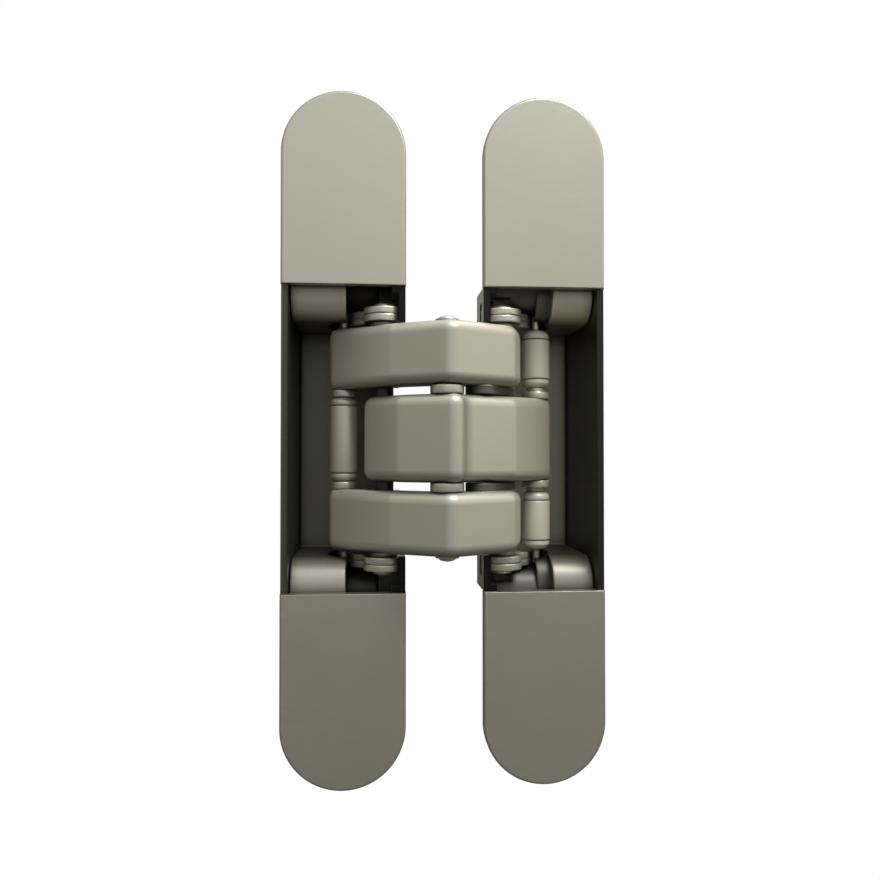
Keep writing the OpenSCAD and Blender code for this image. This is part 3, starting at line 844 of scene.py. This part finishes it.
def paint_carriage_light_and_shade(parts, box, stepped):
    """Paints shade on a carriage towards its back, under the upper cover, beside a step and at its lower
    blocks, and paints light on its upper half.

    The sheet at its back keeps a share of its colour.
    """
    tree = parts[0].node_tree
    place = coordinates(tree)
    front, (right, back, _) = box[0][1], box[1]
    factor = by_place(tree, place["Y"], front, front + 6, 1.0, 0.18)
    shadow = by_place(tree, place["Z"], WINDOW_TOP - 2, WINDOW_TOP, 1.0, 0.6)
    # Painted light on the upper half and painted shade on the lower blocks.
    lower = by_place(tree, place["Z"], -1, 1, 0.52 if stepped else 0.62, 1.5)
    factor = math_of(tree, "MULTIPLY", factor, math_of(tree, "MULTIPLY", shadow, lower))
    if stepped:
        support = by_place(tree, place["X"], right - 8.1, right - 7.7, 0.6, 1.0)
        factor = math_of(tree, "MULTIPLY", factor, support)
    sheet = by_place(tree, place["Y"], back - 1.6, back - 1.5, 0.0, 0.75 if stepped else 0.4)
    scale_color(parts, math_of(tree, "MAXIMUM", factor, sheet))


def under_shade(tree):
    """A factor of painted shade that falls on faces that look down."""
    return ranged(tree, coordinates(tree, "Normal")["Z"], -0.9, -0.25, 0.45, 1.0)


def paint_gap_shade(parts):
    """Paints shade on the undersides of the arms and on the strips that fill the gaps between them."""
    tree = parts[0].node_tree
    height = math_of(tree, "ABSOLUTE", coordinates(tree)["Z"])
    above = math_of(tree, "GREATER_THAN", height, (MID_TOP + 0.1) * MM)
    below = math_of(tree, "LESS_THAN", height, (OUTER_LOW - 0.02) * MM)
    gap = ranged(tree, math_of(tree, "MULTIPLY", above, below), 0.0, 1.0, 1.0, 0.25)
    scale_color(parts, math_of(tree, "MULTIPLY", gap, under_shade(tree)))


def paint_side_shade(parts):
    """Paints shade on the undersides of the middle arm and on the groove beside its hub, most where it is
    steep.
    """
    tree = parts[0].node_tree
    steep = ranged(tree, coordinates(tree, "Normal")["X"], 0.5, 0.9, 1.0, 0.6)
    end = CROSSING[0] + 6
    beyond = by_place(tree, coordinates(tree)["X"], end - 0.5, end, 0.0, 1.0)
    side = math_of(tree, "MAXIMUM", steep, beyond)
    scale_color(parts, math_of(tree, "MULTIPLY", side, under_shade(tree)))


def paint_crown_shade(parts):
    """Paints shade on the edges that look up, where the light overhead is strongest."""
    tree = parts[0].node_tree
    scale_color(parts, ranged(tree, coordinates(tree, "Normal")["Z"], 0.08, 0.5, 1.0, 0.5))


def paint_shaft_shade(parts):
    """Paints shade on a pin between the arms, where the arms keep the light from it."""
    tree = parts[0].node_tree
    height = math_of(tree, "ABSOLUTE", coordinates(tree)["Z"])
    scale_color(parts, by_place(tree, height, OUTER_TOP + 0.2, OUTER_TOP + 0.8, 0.12, 1.0))


class HINGE_OT_finishes(bpy.types.Operator):
    """Makes the finishes and gives them to the solids that stay"""

    bl_idname = "hinge.finishes"
    bl_label = "Finishes"

    def execute(self, context):
        finish = context.scene.hinge_finish
        group = grain_group()
        satin, steel, screw = tuple(finish.satin), tuple(finish.steel), tuple(finish.screw)
        grains, rough = finish.grain, finish.satin_rough

        def dress(name, color=satin, **values):
            """A finish like the arms' satin, apart from the values given."""
            usual = {"grains": grains, "contrast": 0.05, "roughness": rough, "metallic": 0.45, "bump": 0.12}
            return coat(name, group, color, **{**usual, **values})

        def polish(name, bevel):
            """The smooth steel of pins and plates."""
            smooth = {"grains": grains * 0.6, "roughness": 0.34, "metallic": 0.7, "bump": 0.08}
            return dress(name, steel, bevel=bevel, **smooth)

        # Painted shade on the arms' undersides and the gaps between them, on the middle arm's groove, on the
        # covers' upward edges and on the pivot pins between the arms; every coat also has painted shade in
        # its crevices.
        paint_gap_shade(dress("satin_arm"))
        paint_side_shade(dress("satin_hub"))
        dress("satin_barrel", metallic=0.5)
        dress("steel_barrel", steel, metallic=0.1)
        paint_crown_shade(dress("satin_cover", contrast=0.02, metallic=0.8, bump=0.05, stretch=0.06))
        polish("steel_plate", bevel=0.45)
        polish("steel_pin", bevel=0.3)
        paint_shaft_shade(polish("painted_shade_pin", bevel=0.3))
        dress("dark_screw", screw, contrast=0.1, roughness=0.4, metallic=1.0, bump=0.1)
        rougher = {"contrast": 0.06, "bump": 0.15}
        # Painted shade on the cases and carriages: the door's case shows the whole bounce colour in
        # reflections, lighter than its coat, and the frame's case 0.35 of it, darker than its coat.
        for side, share in (("frame", 0.35), ("door", 1.0)):
            case = dress("satin_case_" + side, roughness=rough + 0.04, metallic=0.6, bevel=0.2, **rougher)
            bounce = tuple(share * part for part in finish.bounce[:3]) + (1,)
            paint_case_shade(case, node_box(side + "_housing"), tuple(finish.inside), tuple(finish.rim), bounce)
            carriage = dress("satin_carriage_" + side, roughness=rough + 0.06, bevel=0.7, **rougher)
            paint_carriage_light_and_shade(carriage, node_box(side + "_carriage"), side == "door")
        plan = {}
        for side in ("frame", "door"):
            plan[side + "_housing"] = "satin_case_" + side
            plan[side + "_carriage"] = "satin_carriage_" + side
            plan.update({f"{side}_{level}_plate": "steel_plate" for level in ("upper", "lower")})
            plan.update({f"{side}_{kind}_screws": "dark_screw" for kind in ("clamp", "height")})
        for node, material in plan.items():
            for slot in frame["nodes"][node].material_slots:
                slot.material = finish_of(material)
        return {"FINISHED"}


SKY_FRONT, SKY_SIDE, SKY_LOW = (0.70, 0.722, 0.71, 1), (0.72, 0.695, 0.63, 1), (0.09, 0.082, 0.068, 1)
FLOOR_HALF, FLOOR_COLOR, FLOOR_ROUGH = 4.0, (0.08, 0.073, 0.06, 1), 0.9


def sky(world):
    """Light from all round, plain white to the camera.

    Above the horizon it is dimmer to the left and behind, brighter overhead and warmer at both sides;
    below it is dim and warm.
    """
    world.use_nodes = True
    tree = world.node_tree
    tree.nodes.clear()
    way = coordinates(tree, "Generated")
    left = ranged(tree, way["X"], -0.55, -0.2, 0.52, 1.0)
    right = ranged(tree, way["X"], 0.25, 0.8, 1.0, 1.15)
    rear = ranged(tree, way["Y"], 0.1, 0.7, 1.0, 0.55)
    over = ranged(tree, way["Z"], 0.4, 0.85, 1.0, 1.7)
    across = math_of(tree, "MULTIPLY", left, right)
    bright = math_of(tree, "MULTIPLY", across, math_of(tree, "MULTIPLY", rear, over))
    aside = ranged(tree, math_of(tree, "ABSOLUTE", way["X"]), 0.25, 0.75, 0.0, 1.0)
    upper = dimmed(tree, mixed(tree, aside, SKY_FRONT, SKY_SIDE), bright)
    above = ranged(tree, way["Z"], -0.06, 0.06, 0.0, 1.0)
    light = add_node(tree, "ShaderNodeBackground", Strength=1.0)
    tree.links.new(mixed(tree, above, SKY_LOW, upper), light.inputs["Color"])
    seen = add_node(tree, "ShaderNodeBackground", Color=WHITE, Strength=1.0)
    show_to_camera(tree, light, seen, add_node(tree, "ShaderNodeOutputWorld"))


def floor_sheet(stage):
    """A wide level sheet z = floor_z, pale and evenly bright to the camera."""
    corner = np.array([(-1, -1), (1, -1), (1, 1), (-1, 1)], float) * FLOOR_HALF
    mesh = bpy.data.meshes.new("floor")
    mesh.from_pydata(np.concatenate((corner, np.full((4, 1), stage.floor_z)), 1), [], [(0, 1, 2, 3)])
    material, tree, shader = new_material("pale_floor")
    shader.inputs["Base Color"].default_value = FLOOR_COLOR
    shader.inputs["Roughness"].default_value = FLOOR_ROUGH
    pale = add_node(tree, "ShaderNodeEmission", Color=WHITE, Strength=1.0)
    out = next(n for n in tree.nodes if n.type == "OUTPUT_MATERIAL")
    show_to_camera(tree, shader, pale, out)
    mesh.materials.append(material)
    sheet = bpy.data.objects.new("floor", mesh)
    bpy.context.scene.collection.objects.link(sheet)


def area_light(name, place, aim, size, power, color):
    """A soft square lamp that faces its aim."""
    data = bpy.data.lights.new(name, "AREA")
    data.size, data.energy, data.color = size, power, color
    lamp = bpy.data.objects.new(name, data)
    lamp.location = place
    lamp.rotation_euler = (Vector(aim) - Vector(place)).to_track_quat("-Z", "Y").to_euler()
    bpy.context.scene.collection.objects.link(lamp)


class HINGE_OT_stage(bpy.types.Operator):
    """Sets up the floor, the light and the camera"""

    bl_idname = "hinge.stage"
    bl_label = "Stage"

    def execute(self, context):
        scene, stage = context.scene, context.scene.hinge_stage
        scene.view_settings.view_transform = "Standard"
        scene.view_settings.look = "None"
        scene.world = scene.world or bpy.data.worlds.new("studio")
        sky(scene.world)
        floor_sheet(stage)
        middle = (CROSSING[0] * MM, 0, 0)
        place, tint = (0.24, -0.26, 0.62), (1, 0.99, 0.96)
        area_light("key", place, aim=middle, size=0.30, power=stage.key, color=tint)
        data = bpy.data.cameras.new("camera")
        data.sensor_width, data.lens = 36, stage.lens
        data.clip_start = 0.005
        camera = bpy.data.objects.new("camera", data)
        camera.location = stage.camera
        camera.rotation_euler = (RIGHT_ANGLE + stage.tilt, 0, -stage.pan)
        scene.collection.objects.link(camera)
        scene.camera = camera
        return {"FINISHED"}


OPERATORS = (HINGE_OT_finishes, HINGE_OT_arms, HINGE_OT_covers, HINGE_OT_turned, HINGE_OT_stage)
GROUPS = (("hinge_sizes", HingeSizes), ("hinge_finish", HingeFinish), ("hinge_stage", HingeStage))


class HINGE_PT_panel(bpy.types.Panel):
    """Lists the sizes, the finishes and the operators"""

    bl_idname = "HINGE_PT_panel"
    bl_label = "Concealed door hinge"
    bl_space_type = "VIEW_3D"
    bl_region_type = "UI"
    bl_category = "Hinge"

    def draw(self, context):
        for operator in OPERATORS:
            self.layout.operator(operator.bl_idname)
        for name, group in GROUPS:
            box = self.layout.box()
            for key in group.__annotations__:
                box.prop(getattr(context.scene, name), key)


def register():
    """Adds the groups of values, the operators and the panel."""
    for name, group in GROUPS:
        bpy.utils.register_class(group)
        setattr(bpy.types.Scene, name, PointerProperty(type=group))
    for cls in OPERATORS + (HINGE_PT_panel,):
        bpy.utils.register_class(cls)


def unregister():
    """Takes them away again."""
    for cls in reversed(OPERATORS + (HINGE_PT_panel,)):
        bpy.utils.unregister_class(cls)
    for name, group in reversed(GROUPS):
        delattr(bpy.types.Scene, name)
        bpy.utils.unregister_class(group)


def main():
    """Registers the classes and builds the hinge."""
    register()
    bpy.ops.hinge.finishes()
    bpy.ops.hinge.arms()
    bpy.ops.hinge.covers()
    bpy.ops.hinge.turned()
    bpy.ops.hinge.stage()


if __name__ == "__main__":
    main()
